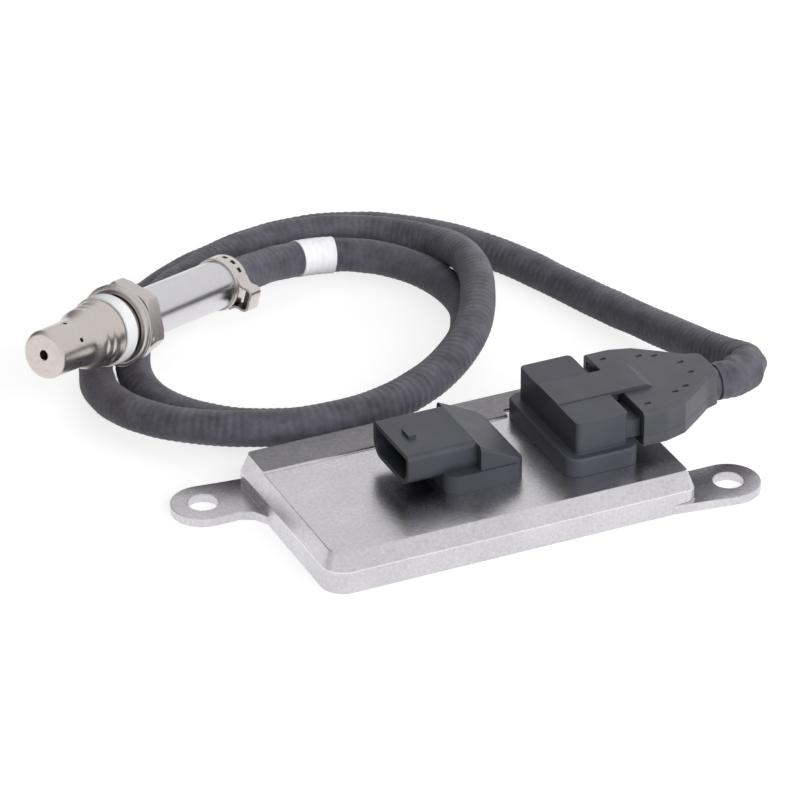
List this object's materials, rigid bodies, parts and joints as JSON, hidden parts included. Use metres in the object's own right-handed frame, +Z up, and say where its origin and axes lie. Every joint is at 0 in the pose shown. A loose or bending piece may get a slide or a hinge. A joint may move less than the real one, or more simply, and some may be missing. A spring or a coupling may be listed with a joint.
{
  "type": "nitrogen oxide sensor",
  "caption": "Exhaust nitrogen oxide sensor: flat cast control unit with two connectors, a coiled sleeved cable and a screw-in probe.",
  "frame": {"origin": "centre of the control unit's footprint, halfway between its two bolt holes, on the mounting face", "axes": "+Z up from the mounting face through the control unit; +X along the unit's long side, from the vehicle connector's mouth towards the sensor plug; +Y towards the coiled cable"},
  "size_m": [0.1912, 0.1889, 0.0366],
  "materials": {
    "cast_aluminium": "satin",
    "cover_sheet": "satin",
    "seal_rubber": "matte",
    "orange_rubber": "matte",
    "connector_plastic": "matte",
    "slide_plastic": "matte",
    "board_laminate": "satin",
    "chip_epoxy": "matte",
    "capacitor_metal": "satin",
    "gap_filler": "matte",
    "zinc_steel": "satin",
    "tin_plate": "bright",
    "wire_insulation": "matte",
    "textile_sleeve": "matte",
    "label_film": "satin",
    "stainless": "bright",
    "plated_steel": "bright",
    "white_compound": "matte",
    "ceramic_white": "matte",
    "talc_powder": "matte"
  },
  "bodies": {
    "root": {"unit_housing": "cast_aluminium", "unit_base_cover": "cover_sheet", "unit_cover_seal": "seal_rubber", "circuit_board": "board_laminate", "board_screws": "zinc_steel", "processor_chip": "chip_epoxy", "thermal_pad": "gap_filler", "driver_chips": "chip_epoxy", "capacitors": "capacitor_metal", "power_inductor": "chip_epoxy", "vehicle_header": "connector_plastic", "vehicle_header_pins": "tin_plate", "vehicle_header_seal": "orange_rubber", "sensor_header": "connector_plastic", "sensor_header_pins": "tin_plate", "sensor_header_seal": "orange_rubber", "plug_housing": "connector_plastic", "plug_terminals": "tin_plate", "plug_front_seal": "orange_rubber", "plug_wire_seal": "orange_rubber", "plug_lock_slide": "slide_plastic", "cable_cover_upper": "connector_plastic", "cable_cover_lower": "connector_plastic", "plug_wires": "wire_insulation", "cable": "textile_sleeve", "cable_label": "label_film", "outer_protection_tube": "stainless", "inner_protection_tube": "stainless", "probe_body": "plated_steel", "thread_compound": "white_compound", "sealing_ring": "plated_steel", "sensor_element": "ceramic_white", "front_insulator": "ceramic_white", "talc_packing": "talc_powder", "rear_insulator": "ceramic_white", "contact_carrier": "ceramic_white", "contact_strips": "tin_plate", "steel_sleeve": "stainless", "cable_grommet": "seal_rubber", "probe_leads": "wire_insulation", "clamp_band": "stainless"}
  },
  "joints": []
}
